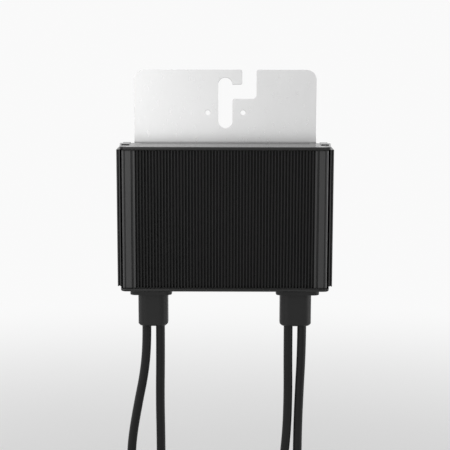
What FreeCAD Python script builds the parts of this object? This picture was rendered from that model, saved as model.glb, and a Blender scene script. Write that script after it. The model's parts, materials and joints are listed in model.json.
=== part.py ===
import FreeCAD, Part
import math
import os

import Sketcher

Vector = FreeCAD.Vector

# Sizes in millimetres. Heights are measured from the bolt seat, the centre of the slot's
# upper round end, and depths from the bracket's rear face, forwards.
SIZES = {
    # bracket sheet with its hook slot
    "sheet_thickness": 2.0,
    "sheet_width": 110.8,
    "sheet_rise": 9.1,
    "sheet_foot_margin": 5.0,
    "sheet_corner": 6.5,
    "slot_width": 8.4,
    "slot_drop": 22.1,
    "finger_width": 6.2,
    "channel_height": 8.5,
    "finger_round": 1.4,
    "channel_round": 2.4,
    "pin_hole_offset": 10.7,
    "pin_hole_drop": 16.9,
    "pin_hole_diameter": 3.0,
    # housing and its ends
    "housing_drop": 35.3,
    "housing_width": 129.0,
    "profile_length": 82.5,
    "cap_thickness": 1.6,
    "cap_rear_setback": 0.2,
    "cap_front_setback": 2.4,
    "cap_overhang": 0.8,
    "cap_corner": 3.6,
    "cap_edge": 0.4,
    "cap_pad_width": 4.6,
    "cap_pad_height": 0.5,
    "cap_pad_length": 14.0,
    "notch_width": 1.2,
    "notch_height": 1.1,
    "notch_depth": 0.9,
    "locating_rib_height": 3.0,
    "locating_rib_thickness": 1.2,
    "locating_rib_margin": 3.3,
    "gasket_thickness": 0.5,
    "gasket_inset": 0.6,
    # rear tray, an extruded channel
    "tray_setback": 5.2,
    "tray_floor": 2.5,
    "tray_wall": 2.1,
    "tray_edge_groove": 0.7,
    "tray_edge_groove_depth": 1.2,
    "rail_reach": 1.2,
    "rail_height": 1.5,
    "port_bore": 2.7,
    "tray_port_inset": 9.4,
    "tray_port_width": 5.4,
    "tray_port_height": 5.5,
    # front cover, an extruded profile with fine ribs
    "cover_depth": 29.2,
    "rail_gap": 0.3,
    "cover_plate": 2.5,
    "cover_wall": 2.0,
    "rib_height": 2.4,
    "rib_pitch": 1.85,
    "rib_root": 1.0,
    "rib_tip": 0.45,
    "rib_bevel": 0.2,
    "strip_width": 7.7,
    "edge_rib_width": 1.2,
    "edge_groove_width": 1.2,
    "edge_groove_depth": 0.8,
    "bead_width": 1.3,
    "bead_groove_width": 0.6,
    "bead_groove_depth": 0.4,
    "bead_bevel": 0.5,
    "foot_height": 3.2,
    "foot_clearance": 0.2,
    "cover_port_inset": 3.7,
    "cover_port_depth": 26.5,
    "guide_reach": 1.5,
    "guide_thickness": 1.2,
    # screws
    "sheet_screw_diameter": 3.0,
    "sheet_screw_head": 5.6,
    "sheet_screw_length": 4.2,
    "sheet_screw_inset": 11.4,
    "sheet_screw_margin": 10.0,
    "cap_screw_diameter": 2.5,
    "cap_screw_head": 4.4,
    "cap_screw_length": 8.0,
    "screw_clearance": 0.1,
    # cable glands
    "input_gland_inset": 20.9,
    "output_gland_inset": 21.6,
    "input_gland_width": 18.0,
    "output_gland_width": 19.0,
    "gland_flange_outer": 4.4,
    "gland_flange_inner": 2.6,
    "gland_flange_height": 2.8,
    "gland_flange_front": 11.0,
    "gland_height": 22.8,
    "gland_thickness": 15.0,
    "gland_round": 5.0,
    "gland_bevel": 1.0,
    "neck_width": 17.0,
    "neck_thickness": 9.0,
    "neck_height": 6.6,
    "neck_groove": 0.7,
    "clip_thickness": 1.0,
    "clip_margin": 1.3,
    "seal_width": 15.6,
    "seal_thickness": 9.0,
    "seal_height": 9.0,
    "fit_clearance": 0.15,
    # cables
    "cable_diameter": 5.5,
    "cable_pitch": 8.3,
    "stub_above_neck": 1.8,
    # electronics
    "board_thickness": 1.6,
    "board_margin": 5.25,
    "sheet_insulation": 0.3,
    "heat_row_inset": 22.0,
    "transistor_size": 10.0,
    "transistor_height": 1.2,
    "transistor_pitch": 24.0,
    "thermal_pad_margin": 3.0,
    "thermal_pad_height": 1.0,
    "core_width": 36.0,
    "core_length": 28.0,
    "core_clearance": 0.7,
    "core_plate": 3.0,
    "core_post": 11.0,
    "core_leg": 5.0,
    "winding_diameter": 25.0,
    "capacitor_width": 18.0,
    "capacitor_length": 9.0,
    "capacitor_clearance": 2.7,
    "capacitor_offset": 36.0,
    "capacitor_pitch": 13.0,
    "small_row_drop": 24.0,
    "chip_width": 10.0,
    "chip_height": 1.2,
    "transformer_width": 12.0,
    "transformer_length": 10.0,
    "transformer_height": 8.0,
    "shunt_width": 7.0,
    "shunt_length": 4.0,
    "shunt_height": 1.0,
    "diode_width": 10.0,
    "diode_length": 7.0,
    "diode_height": 3.0,
    "small_part_pitch": 20.0,
    "terminal_width": 5.0,
    "terminal_height": 8.0,
    "terminal_base": 0.8,
    "terminal_barrel": 4.4,
    "conductor_diameter": 2.6,
    # connectors on the cable ends
    "nut_length": 15.0,
    "nut_flats": 16.0,
    "nut_neck": 9.5,
    "body_diameter": 13.0,
    "body_length": 20.0,
    "collar_diameter": 15.6,
    "collar_length": 3.0,
    "nose_length": 15.0,
    "plug_nose": 9.0,
    "socket_nose": 13.6,
    "socket_bore": 9.6,
    "arm_width": 4.0,
    "arm_thickness": 1.6,
    "contact_diameter": 4.0,
    "pin_diameter": 2.4,
    "pin_setback": 5.0,
    "sleeve_setback": 1.0,
    # put-away coil of the long output cable
    "coil_radius": 30.5,
    "coil_layers": 3,
    "coil_rows": 4,
    "coil_drop": 195.2,
    "coil_bevel": 1.6,
    "tie_width": 5.0,
    "tie_thickness": 1.3,
    "tie_clearance": 0.3,
}

doc = FreeCAD.newDocument("solar_power_optimizer")
sheet = doc.addObject("Spreadsheet::Sheet", "sizes")
for row, (alias, number) in enumerate(SIZES.items(), start=1):
    sheet.set("A%d" % row, alias)
    sheet.set("B%d" % row, str(number))
    sheet.setAlias("B%d" % row, alias)
doc.recompute()


class Size:
    """A number that keeps the spreadsheet formula it comes from."""

    def __init__(self, number, formula):
        self.number = number
        self.formula = formula

    def __add__(self, other):
        other = as_size(other)
        return Size(self.number + other.number, "(%s + %s)" % (self.formula, other.formula))

    def __sub__(self, other):
        other = as_size(other)
        return Size(self.number - other.number, "(%s - %s)" % (self.formula, other.formula))

    def __mul__(self, other):
        other = as_size(other)
        return Size(self.number * other.number, "(%s * %s)" % (self.formula, other.formula))

    def __truediv__(self, other):
        other = as_size(other)
        return Size(self.number / other.number, "(%s / %s)" % (self.formula, other.formula))

    def __neg__(self):
        return Size(-self.number, "(0 - %s)" % self.formula)

    __radd__ = __add__
    __rmul__ = __mul__

    def __rsub__(self, other):
        return as_size(other) - self


def as_size(value):
    return value if isinstance(value, Size) else Size(float(value), repr(float(value)))


def whole(size):
    """The whole number at or below a size."""
    return Size(math.floor(size.number), "floor(%s)" % size.formula)


class Sizes:
    """The spreadsheet's cells as Size values, one attribute for each alias."""

    def __init__(self, numbers):
        for name, value in numbers.items():
            setattr(self, name, Size(value, "sizes." + name))


S = Sizes(SIZES)

# Levels along Z, from the bolt seat down
sheet_top = S.sheet_rise
housing_top = -S.housing_drop
top_cap_inner = housing_top - S.cap_thickness
profile_top = top_cap_inner - S.gasket_thickness
profile_bottom = profile_top - S.profile_length
bottom_cap_inner = profile_bottom - S.gasket_thickness
housing_bottom = bottom_cap_inner - S.cap_thickness
gland_bottom = housing_bottom - S.gland_height
coil_level = gland_bottom - S.coil_drop
neck_top = housing_bottom + S.neck_height
stub_top = neck_top + S.stub_above_neck

# Planes across the depth; the front is towards -Y
sheet_front = -S.sheet_thickness
tray_floor_face = sheet_front - S.tray_floor
tray_front = S.tray_setback - S.cover_depth
rib_tip_face = -S.cover_depth
rib_root_face = rib_tip_face + S.rib_height
cover_back_face = rib_root_face + S.cover_plate
cap_front = rib_tip_face - S.cap_overhang
board_front = cover_back_face + S.thermal_pad_height + S.transistor_height
board_rear = board_front + S.board_thickness
gland_axis = (sheet_front + cap_front) / 2
insulation_face = tray_floor_face - S.sheet_insulation
core_height = insulation_face - board_rear - S.core_clearance
capacitor_height = insulation_face - board_rear - S.capacitor_clearance

# Places across the width
sheet_half = S.sheet_width / 2
tray_half = S.housing_width / 2
tray_inner = tray_half - S.tray_wall
tray_port_x = tray_inner - S.tray_port_inset
tray_port_left = tray_port_x - S.tray_port_width / 2
tray_port_right = tray_port_x + S.tray_port_width / 2
locating_reach = tray_port_left - S.locating_rib_margin
cover_half = tray_inner - S.rail_reach - S.rail_gap
cover_inner = cover_half - S.cover_wall
cover_port_x = cover_half - S.cover_port_inset
cover_port_y = -S.cover_port_depth
strip_offset = cover_half - S.strip_width
rib_count = whole(2 * strip_offset / S.rib_pitch)
tray_port_y = tray_floor_face - S.tray_port_height / 2
board_half = cover_inner - S.fit_clearance


def bind(item, target, value):
    """Tie a property to the spreadsheet."""
    item.setExpression(target, as_size(value).formula)


def place(item, x=0, y=0, z=0):
    """Tie an object's position to the spreadsheet, after its rotation is set."""
    for axis, value in zip("xyz", (x, y, z)):
        bind(item, "Placement.Base." + axis, value)


def origin_feature(body, role):
    return next(item for item in body.Origin.OriginFeatures if item.Role == role)


def new_body(name):
    return doc.addObject("PartDesign::Body", name)


def new_sketch(body, name, plane="XY_Plane", offset=0):
    sketch = body.newObject("Sketcher::SketchObject", body.Name + "_" + name)
    sketch.AttachmentSupport = [(origin_feature(body, plane), "")]
    sketch.MapMode = "FlatFace"
    bind(sketch, "AttachmentOffset.Base.z", offset)
    return sketch


def held(geometry, point, place_x, place_y):
    """Two distances from the sketch's origin that hold a point, with their formulas."""
    x, y = as_size(place_x), as_size(place_y)
    return [
        (Sketcher.Constraint("DistanceX", -1, 1, geometry, point, x.number), x.formula),
        (Sketcher.Constraint("DistanceY", -1, 1, geometry, point, y.number), y.formula),
    ]


def constrain(sketch, driven):
    """Add constraints and bind each one that has a formula."""
    added = sketch.addConstraint([constraint for constraint, _ in driven])
    for index, (_, formula) in zip(added, driven):
        if formula:
            sketch.setExpression("Constraints[%d]" % index, formula)


def add_polygon(sketch, points):
    """A closed outline, each corner held by its own two distances."""
    corners = [Vector(as_size(x).number, as_size(y).number, 0) for x, y in points]
    following = corners[1:] + corners[:1]
    lines = [Part.LineSegment(start, end) for start, end in zip(corners, following)]
    first = sketch.GeometryCount
    sketch.addGeometry(lines, False)
    count = len(lines)
    driven = []
    for index in range(count):
        after = (index + 1) % count
        driven.append((Sketcher.Constraint("Coincident", first + index, 2, first + after, 1), None))
    for index, (x, y) in enumerate(points):
        driven.extend(held(first + index, 1, x, y))
    constrain(sketch, driven)


def add_rectangle(sketch, left, low, right, high):
    add_polygon(sketch, [(left, low), (right, low), (right, high), (left, high)])


def add_circle(sketch, x, y, diameter):
    diameter = as_size(diameter)
    centre = Vector(as_size(x).number, as_size(y).number, 0)
    index = sketch.addGeometry(Part.Circle(centre, Vector(0, 0, 1), diameter.number / 2), False)
    driven = held(index, 3, x, y)
    driven.append((Sketcher.Constraint("Diameter", index, diameter.number), diameter.formula))
    constrain(sketch, driven)


def add_slot(sketch, x, high, low, width):
    """An upright slot between two arc centres."""
    radius = as_size(width).number / 2
    x_number, top, bottom = (as_size(value).number for value in (x, high, low))
    upper = Part.ArcOfCircle(Part.Circle(Vector(x_number, top, 0), Vector(0, 0, 1), radius), 0, math.pi)
    lower = Part.ArcOfCircle(
        Part.Circle(Vector(x_number, bottom, 0), Vector(0, 0, 1), radius), math.pi, 2 * math.pi)
    left = Part.LineSegment(Vector(x_number - radius, top, 0), Vector(x_number - radius, bottom, 0))
    right = Part.LineSegment(Vector(x_number + radius, bottom, 0), Vector(x_number + radius, top, 0))
    a, b, c, d = sketch.addGeometry([upper, left, lower, right], False)
    driven = [
        (Sketcher.Constraint("Tangent", a, 2, b, 1), None),
        (Sketcher.Constraint("Tangent", b, 2, c, 1), None),
        (Sketcher.Constraint("Tangent", c, 2, d, 1), None),
        (Sketcher.Constraint("Tangent", d, 2, a, 1), None),
        (Sketcher.Constraint("Diameter", a, 2 * radius), as_size(width).formula),
    ]
    driven.extend(held(a, 3, x, high))
    driven.append((Sketcher.Constraint("DistanceY", -1, 1, c, 3, bottom), as_size(low).formula))
    constrain(sketch, driven)


def pad(body, sketch, length, reverse=False):
    feature = body.newObject("PartDesign::Pad", sketch.Name + "_pad")
    feature.Profile = sketch
    feature.Reversed = reverse
    bind(feature, "Length", length)
    doc.recompute()
    return feature


def pocket(body, sketch, depth=None, reverse=False):
    """Cut a sketch out of the body: to a depth, or right through both ways."""
    feature = body.newObject("PartDesign::Pocket", sketch.Name + "_pocket")
    feature.Profile = sketch
    feature.Reversed = reverse
    if depth is None:
        feature.SideType = "Symmetric"
        feature.Type = "ThroughAll"
    else:
        bind(feature, "Length", depth)
    before = feature.BaseFeature.Shape.Volume
    doc.recompute()
    if feature.Shape.Volume > before - 1e-6:
        raise RuntimeError("%s cuts nothing" % feature.Name)
    return feature


def edges_at(feature, direction, spots):
    """Names of the straight edges along an axis that pass through the given spots.

    A spot gives the two coordinates across the axis, in the order X, Y, Z without that axis.
    """
    along = "xyz".index(direction)
    across = [index for index in range(3) if index != along]
    wanted = [tuple(as_size(value).number for value in spot) for spot in spots]
    names = []
    for index, edge in enumerate(feature.Shape.Edges, start=1):
        ends = [vertex.Point for vertex in edge.Vertexes]
        if len(ends) != 2 or any(abs(ends[0][axis] - ends[1][axis]) > 1e-4 for axis in across):
            continue
        spot = tuple(ends[0][axis] for axis in across)
        if any(math.dist(spot, other) < 1e-3 for other in wanted):
            names.append("Edge%d" % index)
    if len(names) < len(wanted):
        raise RuntimeError("%s: %d of %d edges found" % (feature.Name, len(names), len(wanted)))
    return names


def rim_edges(feature, level, axis="z"):
    """Names of the edges of the outer rim of the flat face at a level."""
    index = "xyz".index(axis)
    number = as_size(level).number
    faces = [face for face in feature.Shape.Faces
             if abs(face.BoundBox.Center[index] - number) < 1e-4
             and face.BoundBox.DiagonalLength > 0 and face.Surface.TypeId == "Part::GeomPlane"
             and abs(face.normalAt(0, 0)[index]) > 0.99]
    largest = max(faces, key=lambda face: face.BoundBox.DiagonalLength)
    rim = largest.OuterWire.Edges
    return ["Edge%d" % number for number, edge in enumerate(feature.Shape.Edges, start=1)
            if any(edge.isSame(other) for other in rim)]


def fillet(body, feature, edges, radius, name):
    item = body.newObject("PartDesign::Fillet", body.Name + "_" + name)
    item.Base = (feature, edges)
    bind(item, "Radius", radius)
    doc.recompute()
    return item


def chamfer(body, feature, edges, size, name):
    item = body.newObject("PartDesign::Chamfer", body.Name + "_" + name)
    item.Base = (feature, edges)
    bind(item, "Size", size)
    doc.recompute()
    return item


def repeat(body, feature, axis, count, pitch, name):
    """A row of copies of one feature along an axis of the body."""
    pattern = body.newObject("PartDesign::LinearPattern", body.Name + "_" + name)
    pattern.Originals = [feature]
    pattern.Direction = (origin_feature(body, axis), [""])
    bind(pattern, "Length", pitch * (count - 1))
    bind(pattern, "Occurrences", count)
    body.Tip = pattern
    doc.recompute()
    return pattern


def box(name, x, y, z):
    """A block between two places on each axis."""
    item = doc.addObject("Part::Box", name)
    bind(item, "Length", x[1] - as_size(x[0]))
    bind(item, "Width", y[1] - as_size(y[0]))
    bind(item, "Height", z[1] - as_size(z[0]))
    place(item, x[0], y[0], z[0])
    return item


UPRIGHT = FreeCAD.Rotation()
REARWARD = FreeCAD.Rotation(Vector(1, 0, 0), -90)
FORWARD = FreeCAD.Rotation(Vector(1, 0, 0), 90)
DOWNWARD = FreeCAD.Rotation(Vector(1, 0, 0), 180)


def cylinder(name, centre, diameter, height, rotation=UPRIGHT):
    """A round bar from a centre along the turned Z axis."""
    item = doc.addObject("Part::Cylinder", name)
    item.Placement = FreeCAD.Placement(Vector(), rotation)
    bind(item, "Radius", diameter / 2)
    bind(item, "Height", height)
    place(item, *centre)
    return item


def cone(name, centre, base, top, height, rotation=UPRIGHT):
    item = doc.addObject("Part::Cone", name)
    item.Placement = FreeCAD.Placement(Vector(), rotation)
    bind(item, "Radius1", base / 2)
    bind(item, "Radius2", top / 2)
    bind(item, "Height", height)
    place(item, *centre)
    return item


def prism(name, centre, flats, height, sides, rotation=UPRIGHT):
    """A regular bar with a size across its flats."""
    item = doc.addObject("Part::Prism", name)
    item.Polygon = sides
    item.Placement = FreeCAD.Placement(Vector(), rotation)
    bind(item, "Circumradius", flats / (2 * math.cos(math.pi / sides)))
    bind(item, "Height", height)
    place(item, *centre)
    return item


def cut(name, base, tool):
    item = doc.addObject("Part::Cut", name)
    item.Base = base
    item.Tool = tool
    return item


def fuse(name, items):
    if len(items) == 1:
        return items[0]
    item = doc.addObject("Part::MultiFuse", name)
    item.Shapes = items
    return item


def group(name, items):
    """Separate solids that share one node."""
    item = doc.addObject("Part::Compound", name)
    item.Links = items
    return item


nodes = []


def keep(item, label):
    """Name a finished piece as a node of its own."""
    item.Label = label
    if item.Label != label:
        raise RuntimeError("two objects are called " + label)
    nodes.append(item)


def mirrored(points):
    """A closed outline from its right half, listed from the front to the rear or back."""
    return points + [(-as_size(x), y) for x, y in reversed(points)]


# Mounting bracket: one flat sheet with a hook slot, a drop-in channel and two pin holes
def sheet_screw_places():
    low = profile_bottom + S.sheet_screw_margin
    high = profile_top - S.sheet_screw_margin
    across = sheet_half - S.sheet_screw_inset
    return [(side * across, level) for side in (-1, 1) for level in (low, high)]


def make_bracket():
    body = new_body("bracket_sheet")
    foot = housing_bottom + S.sheet_foot_margin
    outline = new_sketch(body, "outline", "XZ_Plane")
    add_rectangle(outline, -sheet_half, foot, sheet_half, sheet_top)
    plate = pad(body, outline, S.sheet_thickness)

    slot = new_sketch(body, "slot", "XZ_Plane")
    add_slot(slot, 0, 0, -S.slot_drop, S.slot_width)
    pocket(body, slot)

    slot_right = S.slot_width / 2
    entry_left = slot_right + S.finger_width
    entry_right = entry_left + S.slot_width
    floor = -S.channel_height
    channel = new_sketch(body, "channel", "XZ_Plane")
    add_polygon(channel, [
        (0, floor), (entry_right, floor), (entry_right, sheet_top + 1),
        (entry_left, sheet_top + 1), (entry_left, 0), (0, 0)])
    pocket(body, channel)

    holes = new_sketch(body, "holes", "XZ_Plane")
    for side in (-1, 1):
        add_circle(holes, side * S.pin_hole_offset, -S.pin_hole_drop, S.pin_hole_diameter)
    for x, z in sheet_screw_places():
        add_circle(holes, x, z, S.sheet_screw_diameter + 2 * S.screw_clearance)
    plate = pocket(body, holes)

    corners = [(side * sheet_half, level) for side in (-1, 1) for level in (foot, sheet_top)]
    plate = fillet(body, plate, edges_at(plate, "y", corners), S.sheet_corner, "corners")
    channel_corner = edges_at(plate, "y", [(entry_right, floor)])
    plate = fillet(body, plate, channel_corner, S.channel_round, "channel_corner")
    lips = [(entry_left, 0), (entry_left, sheet_top), (entry_right, sheet_top), (slot_right, floor)]
    fillet(body, plate, edges_at(plate, "y", lips), S.finger_round, "lips")
    return body


def countersunk_screw(name, centre, diameter, head, length, rotation):
    """A flat-headed screw whose head's face lies at the centre."""
    sink = (head - diameter) / 2
    return fuse(name, [
        cone(name + "_head", centre, head, diameter, sink, rotation),
        cylinder(name + "_shank", centre, diameter, length, rotation)])


def countersinks(name, centres, diameter, head, rotation):
    """Tools that cut the seats of flat-headed screws, a little larger than the heads."""
    grown_head = head + 2 * S.screw_clearance
    grown_shank = diameter + 2 * S.screw_clearance
    sink = (grown_head - grown_shank) / 2
    return fuse(name, [
        cone("%s_%d" % (name, index), centre, grown_head, grown_shank, sink, rotation)
        for index, centre in enumerate(centres)])


def make_bracket_and_screws():
    centres = [(x, 0, z) for x, z in sheet_screw_places()]
    seats = countersinks("bracket_seats", centres, S.sheet_screw_diameter, S.sheet_screw_head, FORWARD)
    keep(cut("bracket_with_seats", make_bracket(), seats), "mounting_bracket")
    screws = [
        countersunk_screw("bracket_screw_%d" % index, centre, S.sheet_screw_diameter,
                          S.sheet_screw_head, S.sheet_screw_length, FORWARD)
        for index, centre in enumerate(centres)]
    keep(group("bracket_screw_group", screws), "bracket_screws")


# Rear tray: an extruded channel whose walls hold the cover's feet under a rail
def make_tray():
    body = new_body("rear_tray")
    rail_low = tray_floor_face - S.foot_clearance - S.foot_height - S.foot_clearance
    groove_outer = tray_half - (S.tray_wall - S.tray_edge_groove) / 2
    groove_inner = groove_outer - S.tray_edge_groove
    groove_floor = tray_front + S.tray_edge_groove_depth
    half = [
        (tray_half, sheet_front),
        (tray_half, tray_front),
        (groove_outer, tray_front),
        (groove_outer, groove_floor),
        (groove_inner, groove_floor),
        (groove_inner, tray_front),
        (tray_inner, tray_front),
        (tray_inner, rail_low - S.rail_height),
        (tray_inner - S.rail_reach, rail_low - S.rail_height),
        (tray_inner - S.rail_reach, rail_low),
        (tray_inner, rail_low),
        (tray_inner, tray_floor_face),
        (tray_port_right, tray_floor_face),
        (tray_port_right, tray_floor_face - S.tray_port_height),
        (tray_port_left, tray_floor_face - S.tray_port_height),
        (tray_port_left, tray_floor_face),
    ]
    section = new_sketch(body, "section", offset=profile_bottom)
    add_polygon(section, mirrored(half))
    for side in (-1, 1):
        add_circle(section, side * tray_port_x, tray_port_y, S.port_bore)
    pad(body, section, S.profile_length)

    holes = new_sketch(body, "screw_holes", "XZ_Plane")
    for x, z in sheet_screw_places():
        add_circle(holes, x, z, S.sheet_screw_diameter + 2 * S.screw_clearance)
    pocket(body, holes, -tray_floor_face + 0.5, reverse=True)
    keep(body, "rear_tray")


# Front cover: an extruded profile with fine upright ribs between two plain strips
def make_cover():
    body = new_body("front_cover")
    foot_face = tray_floor_face - S.foot_clearance
    foot_front = foot_face - S.foot_height
    groove_inner = strip_offset + S.edge_rib_width
    groove_outer = groove_inner + S.edge_groove_width
    groove_floor = rib_tip_face + S.edge_groove_depth
    bead_inner = cover_half - S.bead_width
    bead_groove = bead_inner - S.bead_groove_width
    bead_floor = rib_tip_face + S.bead_groove_depth
    guide_inner = cover_inner - S.guide_reach
    slot_front = board_front - S.fit_clearance
    slot_rear = board_rear + S.fit_clearance
    half = [
        (strip_offset, rib_root_face),
        (strip_offset, rib_tip_face),
        (groove_inner, rib_tip_face),
        (groove_inner, groove_floor),
        (groove_outer, groove_floor),
        (groove_outer, rib_tip_face),
        (bead_groove, rib_tip_face),
        (bead_groove, bead_floor),
        (bead_inner, bead_floor),
        (bead_inner, rib_tip_face),
        (cover_half - S.bead_bevel, rib_tip_face),
        (cover_half, rib_tip_face + S.bead_bevel),
        (cover_half, foot_front),
        (tray_inner - S.foot_clearance, foot_front),
        (tray_inner - S.foot_clearance, foot_face),
        (cover_inner, foot_face),
        (cover_inner, slot_rear + S.guide_thickness),
        (guide_inner, slot_rear + S.guide_thickness),
        (guide_inner, slot_rear),
        (cover_inner, slot_rear),
        (cover_inner, slot_front),
        (guide_inner, slot_front),
        (guide_inner, cover_back_face),
    ]
    section = new_sketch(body, "section", offset=profile_bottom)
    add_polygon(section, mirrored(half))
    for side in (-1, 1):
        add_circle(section, side * cover_port_x, cover_port_y, S.port_bore)
    pad(body, section, S.profile_length)

    first = -S.rib_pitch * (rib_count - 1) / 2
    root, tip = S.rib_root / 2, S.rib_tip / 2
    shoulder = rib_tip_face + S.rib_bevel
    buried = rib_root_face + S.cover_plate / 2
    rib = new_sketch(body, "rib", offset=profile_bottom)
    add_polygon(rib, [
        (first - root, buried), (first - tip - S.rib_bevel, shoulder), (first - tip, rib_tip_face),
        (first + tip, rib_tip_face), (first + tip + S.rib_bevel, shoulder), (first + root, buried)])
    first_rib = pad(body, rib, S.profile_length)
    repeat(body, first_rib, "X_Axis", rib_count, S.rib_pitch, "ribs")
    keep(body, "front_cover")


# End caps: flat moulded plates with locating ribs, notched beside the cover's beads
def cap_screw_places():
    return [(side * x, y) for side in (-1, 1)
            for x, y in ((cover_port_x, cover_port_y), (tray_port_x, tray_port_y))]


def make_cap(name, outer, inner, upward, opening=None):
    """An end cap between its outer and inner level; upward is 1 at the top and -1 below."""
    body = new_body(name + "_plate")
    low = outer if upward < 0 else inner
    front_half = tray_half - S.cap_front_setback
    rear_half = tray_half - S.cap_rear_setback
    outline = new_sketch(body, "outline", offset=low)
    add_polygon(outline, [(-front_half, cap_front), (front_half, cap_front),
                          (rear_half, sheet_front), (-rear_half, sheet_front)])
    plate = pad(body, outline, S.cap_thickness)
    corners = [(side * front_half, cap_front) for side in (-1, 1)]
    plate = fillet(body, plate, edges_at(plate, "z", corners), S.cap_corner, "corners")
    chamfer(body, plate, rim_edges(plate, outer), S.cap_edge, "edge")

    pads = new_sketch(body, "pads", offset=outer)
    for side in (-1, 1):
        pad_outer = side * (tray_half - S.cap_front_setback)
        pad_inner = side * (tray_half - S.cap_front_setback - S.cap_pad_width)
        left, right = (pad_inner, pad_outer) if side > 0 else (pad_outer, pad_inner)
        add_rectangle(pads, left, sheet_front - S.cap_pad_length, right, sheet_front)
    pad(body, pads, S.cap_pad_height, reverse=upward < 0)

    ribs = new_sketch(body, "locating_ribs", offset=inner)
    front = cover_back_face + S.fit_clearance
    rear = tray_floor_face - S.fit_clearance
    add_rectangle(ribs, -locating_reach, front, locating_reach, front + S.locating_rib_thickness)
    add_rectangle(ribs, -locating_reach, rear - S.locating_rib_thickness, locating_reach, rear)
    pad(body, ribs, S.locating_rib_height, reverse=upward > 0)

    notches = new_sketch(body, "notches", offset=inner)
    for side in (-1, 1):
        near, far = cover_half - S.notch_width / 2, cover_half + S.notch_width / 2
        left, right = (near, far) if side > 0 else (-far, -near)
        add_rectangle(notches, left, cap_front - 1, right, cap_front + S.notch_depth)
    pocket(body, notches, S.notch_height, reverse=upward > 0)

    holes = new_sketch(body, "holes", offset=outer)
    for x, y in cap_screw_places():
        add_circle(holes, x, y, S.cap_screw_diameter + 2 * S.screw_clearance)
    pocket(body, holes)
    if opening:
        gaps = new_sketch(body, "gland_openings", offset=outer)
        for left, front, right, rear in opening:
            add_rectangle(gaps, left, front, right, rear)
        pocket(body, gaps)
    centres = [(x, y, outer) for x, y in cap_screw_places()]
    rotation = DOWNWARD if upward > 0 else UPRIGHT
    seats = countersinks(name + "_seats", centres, S.cap_screw_diameter, S.cap_screw_head, rotation)
    keep(cut(name + "_with_seats", body, seats), name)
    screws = [
        countersunk_screw("%s_screw_%d" % (name, index), centre, S.cap_screw_diameter,
                          S.cap_screw_head, S.cap_screw_length, rotation)
        for index, centre in enumerate(centres)]
    keep(group(name + "_screw_group", screws), name + "_screws")


def make_gasket(name, low):
    """A flat frame with screw holes, set back from the edges of the extrusions."""
    half = cover_half - S.gasket_inset
    front = rib_tip_face + S.gasket_inset
    rear = sheet_front - S.gasket_inset
    inner_front = cover_back_face + S.fit_clearance / 2
    inner_rear = tray_floor_face - S.fit_clearance / 2
    reach = cover_inner - S.guide_reach
    top = low + S.gasket_thickness
    frame = cut(name + "_frame",
                box(name + "_blank", (-half, half), (front, rear), (low, top)),
                box(name + "_window", (-reach, reach), (inner_front, inner_rear), (low - 1, top + 1)))
    pads = []
    for side in (-1, 1):
        middle = side * tray_port_x
        pads.append(box("%s_pad_%d" % (name, side + 1),
                        (middle - S.tray_port_width / 2, middle + S.tray_port_width / 2),
                        (tray_floor_face - S.tray_port_height, rear), (low, top)))
    frame = fuse(name + "_frame_with_pads", [frame] + pads)
    holes = [
        cylinder("%s_hole_%d" % (name, index), (x, y, low - 1),
                 S.cap_screw_diameter + 4 * S.screw_clearance, S.gasket_thickness + 2)
        for index, (x, y) in enumerate(cap_screw_places())]
    keep(cut(name + "_drilled", frame, fuse(name + "_holes", holes)), name)


# Cable glands: a flanged block under the bottom cap with a neck, a clip and a rubber seal
def gland_centre(side):
    """Place of the input gland's axis for -1, and of the output gland's for 1."""
    return side * (tray_half - (S.output_gland_inset if side > 0 else S.input_gland_inset))


def gland_opening(side):
    half = S.neck_width / 2 + S.fit_clearance
    deep = S.neck_thickness / 2 + S.fit_clearance
    return (gland_centre(side) - half, gland_axis - deep,
            gland_centre(side) + half, gland_axis + deep)


def cable_places(side):
    """Outer and inner cable axis of a gland."""
    return [gland_centre(side) + side * S.cable_pitch / 2, gland_centre(side) - side * S.cable_pitch / 2]


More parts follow.
